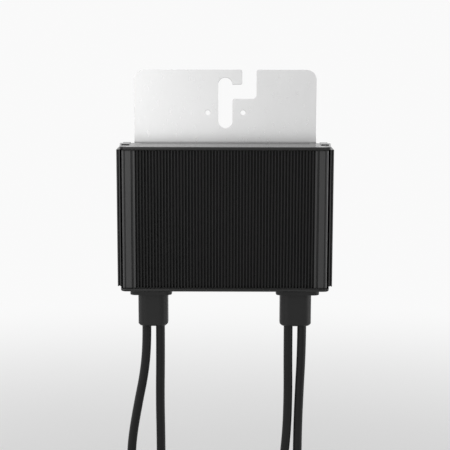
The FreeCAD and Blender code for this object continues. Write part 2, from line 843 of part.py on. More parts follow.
def make_gland(name, side, width):
    body = new_body(name)
    centre = gland_centre(side)
    half, deep = width / 2, S.gland_thickness / 2
    block = new_sketch(body, "block", offset=gland_bottom)
    add_rectangle(block, centre - half, gland_axis - deep, centre + half, gland_axis + deep)
    shape = pad(body, block, S.gland_height)
    corners = [(centre + a * half, gland_axis + b * deep) for a in (-1, 1) for b in (-1, 1)]
    shape = fillet(body, shape, edges_at(shape, "z", corners), S.gland_round, "corners")
    chamfer(body, shape, rim_edges(shape, gland_bottom), S.gland_bevel, "bevel")

    flange = new_sketch(body, "flange", offset=housing_bottom)
    outer = centre + side * (half + S.gland_flange_outer)
    inner = centre - side * (half + S.gland_flange_inner)
    left, right = (inner, outer) if side > 0 else (outer, inner)
    flange_deep = S.gland_flange_front
    add_rectangle(flange, left, gland_axis - flange_deep, right, gland_axis + flange_deep)
    shape = pad(body, flange, S.gland_flange_height, reverse=True)
    corners = [(x, gland_axis + b * flange_deep) for x in (left, right) for b in (-1, 1)]
    fillet(body, shape, edges_at(shape, "z", corners), S.cap_corner, "flange_corners")

    neck = new_sketch(body, "neck", offset=housing_bottom)
    neck_half, neck_deep = S.neck_width / 2, S.neck_thickness / 2
    add_rectangle(neck, centre - neck_half, gland_axis - neck_deep,
                  centre + neck_half, gland_axis + neck_deep)
    pad(body, neck, S.neck_height)
    groove = new_sketch(body, "groove", offset=bottom_cap_inner)
    for edge, inward in ((centre - neck_half, 1), (centre + neck_half, -1)):
        depth = edge + inward * S.neck_groove
        left, right = (edge - 1, depth) if inward > 0 else (depth, edge + 1)
        add_rectangle(groove, left, gland_axis - neck_deep - 1, right, gland_axis + neck_deep + 1)
    pocket(body, groove, S.clip_thickness + 2 * S.fit_clearance, reverse=True)

    recess = new_sketch(body, "seal_recess", offset=gland_bottom)
    wide, thick = S.seal_width / 2 + S.fit_clearance, S.seal_thickness / 2 + S.fit_clearance
    add_rectangle(recess, centre - wide, gland_axis - thick, centre + wide, gland_axis + thick)
    pocket(body, recess, S.seal_height, reverse=True)
    bores = new_sketch(body, "bores", offset=gland_bottom)
    for x in cable_places(side):
        add_circle(bores, x, gland_axis, S.cable_diameter + 2 * S.fit_clearance)
    pocket(body, bores)
    keep(body, name)


def make_seal(name, side):
    """A rubber block with two cable holes, pushed into the gland from below."""
    centre = gland_centre(side)
    half, deep = S.seal_width / 2, S.seal_thickness / 2
    block = box(name + "_block", (centre - half, centre + half),
                (gland_axis - deep, gland_axis + deep), (gland_bottom, gland_bottom + S.seal_height))
    holes = [
        cylinder("%s_hole_%d" % (name, index), (x, gland_axis, gland_bottom - 1),
                 S.cable_diameter + 2 * S.fit_clearance, S.seal_height + 2)
        for index, x in enumerate(cable_places(side))]
    keep(cut(name + "_holed", block, fuse(name + "_holes", holes)), name)


def make_clip(name, side):
    """A forked plate that slides into the neck's grooves inside the cap."""
    centre = gland_centre(side)
    slot = S.neck_width / 2 - S.neck_groove + S.fit_clearance
    half = S.neck_width / 2 + S.clip_margin
    deep = S.neck_thickness / 2 + S.clip_margin
    low = bottom_cap_inner + S.fit_clearance
    high = low + S.clip_thickness
    plate = box(name + "_plate", (centre - half, centre + half),
                (gland_axis - deep + S.clip_margin, gland_axis + deep), (low, high))
    gap = box(name + "_gap", (centre - slot, centre + slot),
              (gland_axis - deep, gland_axis + S.neck_thickness / 2 + S.fit_clearance),
              (low - 1, high + 1))
    keep(cut(name + "_fork", plate, gap), name)


# Cable ends inside the housing: jacketed stubs through the glands and crimped terminals
def make_cable_ends(name, x):
    keep(cylinder(name + "_stub_bar", (x, gland_axis, gland_bottom), S.cable_diameter,
                  stub_top - gland_bottom), name + "_stub")
    base_low = stub_top + S.conductor_diameter
    base_high = base_low + S.terminal_height
    half = S.terminal_width / 2
    tongue = box(name + "_tongue", (x - half, x + half),
                 (board_rear, board_rear + S.terminal_base), (base_low, base_high))
    web = box(name + "_web", (x - S.terminal_base, x + S.terminal_base),
              (board_rear, gland_axis), (base_low, base_high))
    barrel = cylinder(name + "_barrel", (x, gland_axis, base_low), S.terminal_barrel, S.terminal_height)
    wire = cylinder(name + "_wire", (x, gland_axis, stub_top), S.conductor_diameter,
                    base_low - stub_top + 1)
    keep(fuse(name + "_lug", [tongue, web, barrel, wire]), name + "_terminal")


# Electronics: a board in the cover's guide slots, heat on its front, tall parts on its rear
def on_board(name, x, z, width, length, height, face=None, outward=1):
    """A block soldered on the board around a centre, standing off its rear or its front."""
    base = board_rear if face is None else face
    y = (base, base + height) if outward > 0 else (base - height, base)
    return box(name, (x - width / 2, x + width / 2), y, (z - length / 2, z + length / 2))


def make_electronics():
    board_high = profile_top - S.board_margin
    board_low = profile_bottom + S.board_margin
    keep(box("board", (-board_half, board_half), (board_front, board_rear), (board_low, board_high)),
         "circuit_board")
    keep(box("insulation", (-locating_reach, locating_reach),
             (insulation_face, tray_floor_face), (board_low, board_high)), "insulating_sheet")

    heat_row = board_high - S.heat_row_inset
    first = -1.5 * S.transistor_pitch
    for index in range(4):
        keep(on_board("transistor_block_%d" % index, first + index * S.transistor_pitch, heat_row,
                      S.transistor_size, S.transistor_size, S.transistor_height,
                      face=board_front, outward=-1),
             "power_transistor_%d" % (index + 1))
    pad_length = S.transistor_size + S.thermal_pad_margin
    keep(on_board("pad_block", as_size(0), heat_row, 3 * S.transistor_pitch + pad_length, pad_length,
                  S.thermal_pad_height, face=board_front - S.transistor_height, outward=-1),
         "thermal_pad")
    make_inductor(as_size(0), heat_row)
    for name, side in (("input", -1), ("output", 1)):
        for index in range(2):
            z = heat_row + (0.5 - index) * S.capacitor_pitch
            keep(on_board("%s_capacitor_%d_block" % (name, index), side * S.capacitor_offset, z,
                          S.capacitor_width, S.capacitor_length, capacitor_height),
                 "%s_capacitor_%d" % (name, index + 1))
    lower = heat_row - S.small_row_drop
    small_parts = [
        ("bypass_diode", S.diode_width, S.diode_length, S.diode_height),
        ("control_chip", S.chip_width, S.chip_width, S.chip_height),
        ("line_transformer", S.transformer_width, S.transformer_length, S.transformer_height),
        ("current_shunt", S.shunt_width, S.shunt_length, S.shunt_height)]
    for index, (label, width, length, height) in enumerate(small_parts):
        keep(on_board(label + "_block", (index - 1.5) * S.small_part_pitch, lower, width, length,
                      height), label)


def make_inductor(x, z):
    """A round winding between the two halves of a ferrite core."""
    half_height = core_height / 2
    middle = board_rear + half_height
    for label, plate_low, leg_low in (
            ("inductor_core_front", board_rear, board_rear),
            ("inductor_core_rear", board_rear + core_height - S.core_plate, middle)):
        left, right = x - S.core_width / 2, x + S.core_width / 2
        high = z + S.core_length / 2
        low = z - S.core_length / 2
        leg = (leg_low, leg_low + half_height)
        pieces = [
            box(label + "_plate", (left, right), (plate_low, plate_low + S.core_plate), (low, high)),
            box(label + "_left_leg", (left, left + S.core_leg), leg, (low, high)),
            box(label + "_right_leg", (right - S.core_leg, right), leg, (low, high)),
            cylinder(label + "_post", (x, leg_low, z), S.core_post, half_height, REARWARD)]
        keep(fuse(label + "_half", pieces), label)
    gap = S.fit_clearance
    start = board_rear + S.core_plate + gap
    length = core_height - 2 * S.core_plate - 2 * gap
    ring = cylinder("winding_outside", (x, start, z), S.winding_diameter, length, REARWARD)
    bore = cylinder("winding_bore", (x, start - 1, z), S.core_post + 2 * gap, length + 2, REARWARD)
    keep(cut("winding_ring", ring, bore), "inductor_winding")


# Connectors: a gripping nut and a body on each cable end, hanging down from its top face
def make_connector(name, x, y, top, is_plug):
    nut_low = top - S.nut_length
    taper = S.nut_length / 3
    nut = fuse(name + "_nut_shape", [
        cone(name + "_nut_taper", (x, y, top), S.nut_neck, S.nut_flats, taper, DOWNWARD),
        prism(name + "_nut_grip", (x, y, top - taper), S.nut_flats,
              S.nut_length - taper, 12, DOWNWARD)])
    keep(nut, name + "_nut")
    body_low = nut_low - S.body_length
    nose_low = body_low - S.nose_length
    nose = S.plug_nose if is_plug else S.socket_nose
    shape = [
        cylinder(name + "_barrel", (x, y, body_low), S.body_diameter, S.body_length),
        cylinder(name + "_collar", (x, y, body_low), S.collar_diameter, S.collar_length),
        cylinder(name + "_nose", (x, y, nose_low), nose, S.nose_length + 1)]
    if is_plug:
        shape += plug_arms(name, x, y, body_low)
    bore_depth = S.nose_length + S.body_length / 2
    bore_top = nose_low + bore_depth
    tools = [cylinder(name + "_bore", (x, y, nose_low - 1),
                      S.contact_diameter + 2 * S.screw_clearance, bore_depth + 1)]
    if not is_plug:
        tools.append(cylinder(name + "_mouth", (x, y, nose_low - 1), S.socket_bore,
                              S.nose_length + 1))
        half = S.arm_width / 2 + S.fit_clearance
        tools.append(box(name + "_windows", (x - S.collar_diameter, x + S.collar_diameter),
                         (y - half, y + half),
                         (nose_low + S.nose_length / 3, body_low - S.nose_length / 4)))
    keep(cut(name + "_body_shape", fuse(name + "_outside", shape), fuse(name + "_tools", tools)),
         name + "_body")
    return make_contact(name, x, y, nose_low, body_low, bore_top, is_plug)


def make_contact(name, x, y, nose_low, body_low, bore_top, is_plug):
    """A hollow sleeve in a plug's nose, or a pin that stands in a socket's mouth."""
    if is_plug:
        low = nose_low + S.sleeve_setback
        return cut(name + "_sleeve",
                   cylinder(name + "_sleeve_bar", (x, y, low), S.contact_diameter,
                            bore_top - low),
                   cylinder(name + "_sleeve_hole", (x, y, low - 1),
                            S.pin_diameter + 2 * S.screw_clearance, S.nose_length))
    low = nose_low + S.pin_setback
    return fuse(name + "_pin", [
        cylinder(name + "_pin_tip", (x, y, low), S.pin_diameter, bore_top - low),
        cylinder(name + "_pin_root", (x, y, body_low), S.contact_diameter,
                 bore_top - body_low)])


def plug_arms(name, x, y, body_low):
    """Two springy arms with catches beside the plug's nose."""
    half = S.arm_width / 2
    pieces = []
    for side in (-1, 1):
        outer = x + side * S.body_diameter / 2
        inner = outer - side * S.arm_thickness
        left, right = (inner, outer) if side > 0 else (outer, inner)
        catch_left, catch_right = (left, right + 1) if side > 0 else (left - 1, right)
        low = body_low - S.nose_length * 0.8
        pieces.append(box("%s_arm_%d" % (name, side + 1), (left, right),
                          (y - half, y + half), (low, body_low + 1)))
        pieces.append(box("%s_catch_%d" % (name, side + 1), (catch_left, catch_right),
                          (y - half, y + half), (low, low + S.nose_length / 5)))
    return pieces


# Cable routes in millimetres, from the gland down, for the sizes above; each moves with its start
INPUT_OUTER_ROUTE = [
    (-47.75, -16, -144.8), (-47.75, -16, -158), (-49.5, -16, -176), (-53.6, -16, -196),
    (-57.1, -16, -216), (-58.2, -16, -231), (-58.2, -16, -244.8)]
INPUT_INNER_ROUTE = [
    (-39.45, -16, -144.8), (-39.45, -16, -165), (-39.9, -16, -192), (-39.5, -16, -220),
    (-39.5, -16, -244.8)]
OUTPUT_OUTER_ROUTE = [
    (47.05, -16, -144.8), (47.05, -16, -162), (45.9, -16, -188), (45.1, -16, -216),
    (45.1, -16, -244.8)]
OUTPUT_LEAD_ROUTE = [
    (38.75, -16, -144.8), (38.75, -16, -165), (39.1, -16, -190), (38.4, -16, -216),
    (35.2, -16.6, -244), (28.3, -18.7, -272), (18.4, -21.9, -300), (7.57, -24.25, -322)]
OUTPUT_END_ROUTE = [
    (2.7, -7.75, -345), (2.5, -8.5, -356), (1.8, -10.3, -367), (1.8, -10.3, -378)]


def moved_route(route, start, first):
    """A route moved so that its cable starts at a place; first is that cable's first point."""
    shift = Vector(*(value.number for value in start)) - Vector(*first)
    return [Vector(*point) + shift for point in route]


def route_end(route, start, first):
    """The place of a moved route's last point, with its formulas."""
    return [value + (last - origin) for value, last, origin in zip(start, route[-1], first)]


def tube_path(points):
    """Straight runs joined by tangent arcs as large as their runs allow."""
    edges = []
    start = points[0]
    radii = []
    for before, corner, after in zip(points, points[1:], points[2:]):
        towards = (before - corner).normalize()
        away = (after - corner).normalize()
        turn = math.pi - towards.getAngle(away)
        shorter = min((before - corner).Length, (after - corner).Length)
        setback = 0.45 * shorter
        radii.append(setback / math.tan(turn / 2))
        arc_start = corner + towards * setback
        arc_end = corner + away * setback
        bisector = (towards + away).normalize()
        radius = radii[-1]
        arc_middle = corner + bisector * (radius / math.cos(turn / 2) - radius)
        edges.append(Part.LineSegment(start, arc_start).toShape())
        edges.append(Part.Arc(arc_start, arc_middle, arc_end).toShape())
        start = arc_end
    edges.append(Part.LineSegment(start, points[-1]).toShape())
    return Part.Wire(edges), radii


def make_tube(name, route):
    """A round cable along a route, as a solid of its own."""
    path, radii = tube_path(route)
    radius = S.cable_diameter.number / 2
    section = Part.Wire([Part.makeCircle(radius, route[0], route[1] - route[0])])
    solid = path.makePipeShell([section], True, False)
    item = doc.addObject("Part::Feature", name + "_tube")
    item.Shape = solid
    expected = math.pi * radius ** 2 * path.Length
    print("%s: length %.1f mm, least radius %.0f mm, volume %.1f of %.1f mm3"
          % (name, path.Length, min(radii), solid.Volume, expected))
    keep(item, name)


def make_coil(centre_x):
    """The outer shape of the wound cable, a ring of bevelled section, and its tie."""
    inner = S.coil_radius - S.cable_diameter * S.coil_layers / 2
    outer = S.coil_radius + S.cable_diameter * S.coil_layers / 2
    rear = gland_axis + S.cable_diameter * S.coil_rows / 2
    front = gland_axis - S.cable_diameter * S.coil_rows / 2
    left, right, bevel = centre_x + inner, centre_x + outer, S.coil_bevel
    body = new_body("output_cable_coil_ring")
    section = new_sketch(body, "section", "XY_Plane", coil_level)
    add_polygon(section, [
        (left, front + bevel), (left + bevel, front), (right - bevel, front), (right, front + bevel),
        (right, rear - bevel), (right - bevel, rear), (left + bevel, rear), (left, rear - bevel)])
    axis = new_sketch(body, "axis", "XY_Plane", coil_level)
    index = axis.addGeometry(Part.LineSegment(
        Vector(centre_x.number, front.number, 0), Vector(centre_x.number, rear.number, 0)), False)
    constrain(axis, held(index, 1, centre_x, front) + held(index, 2, centre_x, rear))
    ring = body.newObject("PartDesign::Revolution", "coil_ring")
    ring.Profile = section
    ring.ReferenceAxis = (axis, ["Edge1"])
    ring.Angle = 360
    keep(body, "output_cable_coil")

    gap, band = S.tie_clearance, S.tie_thickness
    low = coil_level + inner - 2 * gap
    high = coil_level + outer + gap
    x = (centre_x - S.tie_width / 2, centre_x + S.tie_width / 2)
    keep(cut("tie_loop",
             box("tie_outside", x, (front - gap - band, rear + gap + band), (low - band, high + band)),
             box("tie_inside", (x[0] - 1, x[1] + 1), (front - gap, rear + gap), (low, high))),
         "coil_tie")


def make_cables():
    input_places, output_places = cable_places(-1), cable_places(1)
    sleeves = []
    pins = []
    for name, x, route, is_plug in (
            ("input_cable_1", input_places[0], INPUT_OUTER_ROUTE, True),
            ("input_cable_2", input_places[1], INPUT_INNER_ROUTE, False),
            ("output_cable_1", output_places[0], OUTPUT_OUTER_ROUTE, True)):
        start = (x, gland_axis, gland_bottom)
        make_tube(name, moved_route(route, start, route[0]))
        contact = make_connector(name.replace("cable", "connector"), *route_end(route, start, route[0]),
                                 is_plug)
        (sleeves if is_plug else pins).append(contact)
    start, first = (output_places[1], gland_axis, gland_bottom), OUTPUT_LEAD_ROUTE[0]
    make_tube("output_cable_2", moved_route(OUTPUT_LEAD_ROUTE, start, first))
    make_tube("output_cable_2_end", moved_route(OUTPUT_END_ROUTE, start, first))
    pins.append(make_connector("output_connector_2", *route_end(OUTPUT_END_ROUTE, start, first), False))
    keep(group("pin_contact_group", pins), "pin_contacts")
    keep(group("sleeve_contact_group", sleeves), "sleeve_contacts")
    make_coil(output_places[1])


make_bracket_and_screws()
make_tray()
make_cover()
make_cap("top_end_cap", housing_top, top_cap_inner, 1)
make_cap("bottom_end_cap", housing_bottom, bottom_cap_inner, -1,
         opening=[gland_opening(-1), gland_opening(1)])
make_gasket("top_gasket", profile_top)
make_gasket("bottom_gasket", bottom_cap_inner)
for gland, side, gland_width in (("input", -1, S.input_gland_width), ("output", 1, S.output_gland_width)):
    make_gland(gland + "_gland", side, gland_width)
    make_seal(gland + "_gland_seal", side)
    make_clip(gland + "_gland_clip", side)
    for cable_index, cable_x in enumerate(cable_places(side), start=1):
        make_cable_ends("%s_cable_%d" % (gland, cable_index), cable_x)
make_electronics()
make_cables()

doc.recompute()
for item in doc.Objects:
    if "Invalid" in item.State or "Error" in item.State:
        raise RuntimeError("%s did not rebuild: %s" % (item.Name, item.State))
for item in nodes:
    if item.Shape.isNull() or not item.Shape.isValid():
        raise RuntimeError("%s has no valid shape" % item.Label)

os.makedirs("parts", exist_ok=True)
for item in nodes:
    item.Shape.exportStep("parts/%s.step" % item.Label)
print("%d nodes written" % len(nodes))
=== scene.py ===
import json
import math

import bmesh
import bpy
from mathutils import Matrix, Vector


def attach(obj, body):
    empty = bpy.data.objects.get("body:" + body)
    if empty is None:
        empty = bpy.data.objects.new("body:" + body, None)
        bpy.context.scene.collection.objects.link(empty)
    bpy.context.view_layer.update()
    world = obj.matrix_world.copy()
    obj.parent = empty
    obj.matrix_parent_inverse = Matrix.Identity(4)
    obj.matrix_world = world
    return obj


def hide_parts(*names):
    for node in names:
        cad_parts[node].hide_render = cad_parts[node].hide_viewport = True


MM = 0.001

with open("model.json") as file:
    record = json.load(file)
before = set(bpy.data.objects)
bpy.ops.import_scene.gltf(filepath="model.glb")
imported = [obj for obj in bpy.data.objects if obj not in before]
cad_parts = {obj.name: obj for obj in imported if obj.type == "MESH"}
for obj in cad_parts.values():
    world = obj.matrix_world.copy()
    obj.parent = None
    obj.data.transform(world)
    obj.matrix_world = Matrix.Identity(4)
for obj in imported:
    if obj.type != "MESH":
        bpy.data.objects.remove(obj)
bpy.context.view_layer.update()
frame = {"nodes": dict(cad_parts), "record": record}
nodes = frame["nodes"]
scene = bpy.context.scene


# Camera: straight in front and a little above
IMAGE_SIZE = 450
CAMERA_PLACE = Vector((2.645, -735.2, 28.1)) * MM
CAMERA_YAW = math.radians(0.212)
CAMERA_PITCH = math.radians(8.839)
CAMERA_ROLL = math.radians(0.097)
FOCAL_PIXELS = 1204.5
SENSOR = 36.0


def make_camera():
    data = bpy.data.cameras.new("camera")
    camera = bpy.data.objects.new("camera", data)
    scene.collection.objects.link(camera)
    forward = Vector((-math.sin(CAMERA_YAW) * math.cos(CAMERA_PITCH),
                      math.cos(CAMERA_YAW) * math.cos(CAMERA_PITCH), -math.sin(CAMERA_PITCH)))
    level = forward.cross(Vector((0, 0, 1))).normalized()
    above = level.cross(forward)
    right = level * math.cos(CAMERA_ROLL) + above * math.sin(CAMERA_ROLL)
    up = right.cross(forward)
    camera.matrix_world = Matrix.Translation(CAMERA_PLACE) @ Matrix(
        (right, up, -forward)).transposed().to_4x4()
    data.sensor_width = SENSOR
    data.lens = FOCAL_PIXELS * SENSOR / IMAGE_SIZE
    data.clip_start = 0.05
    data.clip_end = 20
    scene.camera = camera


make_camera()


# Leads: the routes of the solids, in metres, each as one smooth open spline
CABLE_DIAMETER = 5.5 * MM
INPUT_OUTER_ROUTE = [
    (-0.04775, -0.016, -0.1448), (-0.04775, -0.016, -0.158), (-0.0495, -0.016, -0.176),
    (-0.0536, -0.016, -0.196), (-0.0571, -0.016, -0.216), (-0.0582, -0.016, -0.231),
    (-0.0582, -0.016, -0.2448)]
INPUT_INNER_ROUTE = [
    (-0.03945, -0.016, -0.1448), (-0.03945, -0.016, -0.165), (-0.0399, -0.016, -0.192),
    (-0.0395, -0.016, -0.220), (-0.0395, -0.016, -0.2448)]
OUTPUT_OUTER_ROUTE = [
    (0.04705, -0.016, -0.1448), (0.04705, -0.016, -0.162), (0.0459, -0.016, -0.188),
    (0.0451, -0.016, -0.216), (0.0451, -0.016, -0.2448)]
OUTPUT_LEAD_ROUTE = [
    (0.03875, -0.016, -0.1448), (0.03875, -0.016, -0.165), (0.0391, -0.016, -0.190),
    (0.0384, -0.016, -0.216), (0.0352, -0.0166, -0.244), (0.0283, -0.0187, -0.272),
    (0.0184, -0.0219, -0.300), (0.00757, -0.02425, -0.322)]
OUTPUT_END_ROUTE = [
    (0.0027, -0.00775, -0.345), (0.0025, -0.0085, -0.356), (0.0018, -0.0103, -0.367),
    (0.0018, -0.0103, -0.378)]
COIL_CENTRE = Vector((0.03875, -0.016, -0.340))
COIL_RADIUS = 0.0305
COIL_LAYERS = 3
COIL_ROWS = 4
COIL_START = math.radians(150)
COIL_END = math.radians(180)
POINTS_A_TURN = 16
LANE_CHANGE = 0.3


def cord_curve(name, points):
    data = bpy.data.curves.new(name, "CURVE")
    data.dimensions = "3D"
    spline = data.splines.new("NURBS")
    spline.points.add(len(points) - 1)
    for item, place in zip(spline.points, points):
        item.co = (*place, 1)
        item.radius = CABLE_DIAMETER / 2
    spline.order_u = 3
    spline.use_endpoint_u = True
    spline.resolution_u = 8
    data.bevel_depth = 1
    data.bevel_resolution = 6
    data.use_fill_caps = True
    curve = bpy.data.objects.new(name, data)
    scene.collection.objects.link(curve)
    return curve


def coil_turns():
    """Turns laid in rows of layers, from the lead's end round to the other end's start."""
    lanes = []
    for row in range(COIL_ROWS):
        layers = range(COIL_LAYERS)
        for layer in (reversed(layers) if row % 2 == 0 else layers):
            lanes.append((row, layer))
    sweep = COIL_END - COIL_START + 2 * math.pi * (len(lanes) - 1)
    steps = round(sweep / (2 * math.pi) * POINTS_A_TURN)
    points = []
    for step in range(1, steps + 1):
        share = step / steps * (len(lanes) - 1)
        index = min(int(share), len(lanes) - 2)
        part = share - index
        ease = max((part - 1 + LANE_CHANGE) / LANE_CHANGE, 0)
        row = lanes[index][0] * (1 - ease) + lanes[index + 1][0] * ease
        layer = lanes[index][1] * (1 - ease) + lanes[index + 1][1] * ease
        radius = COIL_RADIUS + (layer - (COIL_LAYERS - 1) / 2) * CABLE_DIAMETER
        across = (row - (COIL_ROWS - 1) / 2) * CABLE_DIAMETER
        angle = COIL_START + sweep * step / steps
        points.append(COIL_CENTRE + Vector((radius * math.cos(angle), across,
                                            radius * math.sin(angle))))
    return points


LEADS = {
    "input_lead_1": (INPUT_OUTER_ROUTE, "input_cable_1", "input_connector_1", 0.1),
    "input_lead_2": (INPUT_INNER_ROUTE, "input_cable_2", "input_connector_2", 0.1),
    "output_lead_1": (OUTPUT_OUTER_ROUTE, "output_cable_1", "output_connector_1", 0.1),
    "output_lead_2": (OUTPUT_LEAD_ROUTE + coil_turns() + OUTPUT_END_ROUTE,
                      "output_cable_2", "output_connector_2", 2.3),
}


def make_cords():
    made = {}
    for name, (points, solid, connector, length) in LEADS.items():
        curve = cord_curve(name, points)
        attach(curve, "root")
        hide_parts(solid)
        made[name] = curve
    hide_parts("output_cable_2_end", "output_cable_coil")
    return made


cords = make_cords()


# Stage: a wide pale floor under the hanging part, and soft light
FLOOR_HEIGHT = -0.47
FLOOR_RADIUS = 60.0


def make_floor():
    mesh = bpy.data.meshes.new("floor")
    bm = bmesh.new()
    bmesh.ops.create_circle(bm, cap_ends=True, segments=96, radius=FLOOR_RADIUS,
                            matrix=Matrix.Translation((0, 0, FLOOR_HEIGHT)))
    bm.to_mesh(mesh)
    bm.free()
    floor = bpy.data.objects.new("floor", mesh)
    scene.collection.objects.link(floor)
    return floor


floor = make_floor()


def area_light(name, place, aim, size, size_y, power):
    data = bpy.data.lights.new(name, "AREA")
    data.shape = "RECTANGLE"
    data.size = size
    data.size_y = size_y
    data.energy = power
    lamp = bpy.data.objects.new(name, data)
    lamp.location = place
    lamp.rotation_euler = (Vector(aim) - Vector(place)).to_track_quat("-Z", "Y").to_euler()
    scene.collection.objects.link(lamp)


# Each lamp's name, place, aim, width and height in metres, and power in watts
HOUSING_CENTRE = (0, 0, -0.08)
LEFT_STRIP = (-0.03, 0, -0.08)
area_light("key", (-1.1, -1.6, 1.0), HOUSING_CENTRE, 2.0, 2.0, 8)
area_light("side", (-0.72, -1.7, -0.1), LEFT_STRIP, 1.2, 1.6, 6)
area_light("right", (1.6, -0.25, 0.1), HOUSING_CENTRE, 0.9, 1.4, 10)
area_light("left", (-1.6, -0.25, 0.1), HOUSING_CENTRE, 0.9, 1.4, 5)
area_light("top", (0, -0.1, 1.6), (0, 0, -0.1), 1.6, 1.2, 10)


# Materials, each a small node tree made from the same parts
NOISE_LOW = 0.3
NOISE_HIGH = 0.7
PATCH_SCALE = 22
PATCH_DETAIL = 3
RELIEF = 0.02 * MM
# How far the painted corner shade in every finish reaches, and how many samples it takes
CORNER_SHADE_REACH = 1.5 * MM
CORNER_SHADE_SAMPLES = 8

# The front cover: where its ribs stand, and the painted shade there and on the strips: a weaker
# reflection on the ribs, a stronger one on the strips, and how hard the painted corner shade bites
# in each
RIBS_HALF_WIDTH = 52.9 * MM
RIBS_REAR = -26.2 * MM
RIB_PAINTED_SHADE_GLOSS = 0.20
STRIP_PAINTED_LIGHT_GLOSS = 0.62
RIB_SHADE = 0.6
STRIP_SHADE = 1.8


def new_material(name):
    material = bpy.data.materials.new(name)
    material.use_nodes = True
    tree = material.node_tree
    tree.nodes.clear()
    shader = tree.nodes.new("ShaderNodeBsdfPrincipled")
    output = tree.nodes.new("ShaderNodeOutputMaterial")
    tree.links.new(shader.outputs["BSDF"], output.inputs["Surface"])
    return material, tree, shader


def add_node(tree, kind, **values):
    node = tree.nodes.new(kind)
    for name, value in values.items():
        if name in node.inputs:
            node.inputs[name].default_value = value
        else:
            setattr(node, name, value)
    return node


def object_noise(tree, scale, detail, stretch=(1, 1, 1), roughness=0.5):
    place = add_node(tree, "ShaderNodeTexCoord")
    mapping = add_node(tree, "ShaderNodeMapping")
    mapping.inputs["Scale"].default_value = stretch
    noise = add_node(tree, "ShaderNodeTexNoise", Scale=scale, Detail=detail, Roughness=roughness)
    tree.links.new(place.outputs["Object"], mapping.inputs["Vector"])
    tree.links.new(mapping.outputs["Vector"], noise.inputs["Vector"])
    return noise.outputs["Fac"]


def ramp(tree, source, low, high, start=NOISE_LOW, end=NOISE_HIGH):
    """A colour that follows a grey value between two colours."""
    node = tree.nodes.new("ShaderNodeValToRGB")
    node.color_ramp.elements[0].position = start
    node.color_ramp.elements[0].color = (*low, 1)
    node.color_ramp.elements[1].position = end
    node.color_ramp.elements[1].color = (*high, 1)
    tree.links.new(source, node.inputs["Fac"])
    return node.outputs["Color"]


def between(tree, source, low, high, start=0.0, end=1.0):
    """A number that follows a grey value between two numbers."""
    node = add_node(tree, "ShaderNodeMapRange")
    node.inputs["From Min"].default_value = start
    node.inputs["From Max"].default_value = end
    node.inputs["To Min"].default_value = low
    node.inputs["To Max"].default_value = high
    tree.links.new(source, node.inputs["Value"])
    return node.outputs["Result"]


def bump(tree, shader, source, strength):
    node = add_node(tree, "ShaderNodeBump", Strength=strength, Distance=RELIEF)
    tree.links.new(source, node.inputs["Height"])
    tree.links.new(node.outputs["Normal"], shader.inputs["Normal"])


def surface(name, low, high, rough, metallic=0.0, grain=(900, 4), stretch=(1, 1, 1),
            bump_strength=0.3, specular=0.5):
    """A finish that varies with fine grain and broad patches, with painted shade darkening its
    colour in corner hollows and crevices.
    """
    material, tree, shader = new_material(name)
    fine = object_noise(tree, *grain, stretch)
    broad = object_noise(tree, PATCH_SCALE, PATCH_DETAIL)
    shader.inputs["Metallic"].default_value = metallic
    shader.inputs["Specular IOR Level"].default_value = specular
    # Painted shade: ambient occlusion darkens the base colour in corner hollows and crevices
    painted_corner_shade = add_node(tree, "ShaderNodeAmbientOcclusion", samples=CORNER_SHADE_SAMPLES,
                       Distance=CORNER_SHADE_REACH)
    tree.links.new(ramp(tree, broad, low, high), painted_corner_shade.inputs["Color"])
    tree.links.new(painted_corner_shade.outputs["Color"], shader.inputs["Base Color"])
    tree.links.new(between(tree, fine, *rough, NOISE_LOW, NOISE_HIGH), shader.inputs["Roughness"])
    bump(tree, shader, fine, bump_strength)
    return material


def grey(level):
    return (level, level, level)


def rib_field(tree):
    """One between the two plain strips on the front, where the ribs stand, and zero elsewhere."""
    place = tree.nodes.new("ShaderNodeTexCoord")
    parts = tree.nodes.new("ShaderNodeSeparateXYZ")
    tree.links.new(place.outputs["Object"], parts.inputs["Vector"])
    across = add_node(tree, "ShaderNodeMath", operation="ABSOLUTE")
    tree.links.new(parts.outputs["X"], across.inputs[0])
    within = add_node(tree, "ShaderNodeMath", operation="LESS_THAN")
    within.inputs[1].default_value = RIBS_HALF_WIDTH
    tree.links.new(across.outputs["Value"], within.inputs[0])
    front = add_node(tree, "ShaderNodeMath", operation="LESS_THAN")
    front.inputs[1].default_value = RIBS_REAR
    tree.links.new(parts.outputs["Y"], front.inputs[0])
    both = add_node(tree, "ShaderNodeMath", operation="MULTIPLY")
    tree.links.new(within.outputs["Value"], both.inputs[0])
    tree.links.new(front.outputs["Value"], both.inputs[1])
    return both.outputs["Value"]


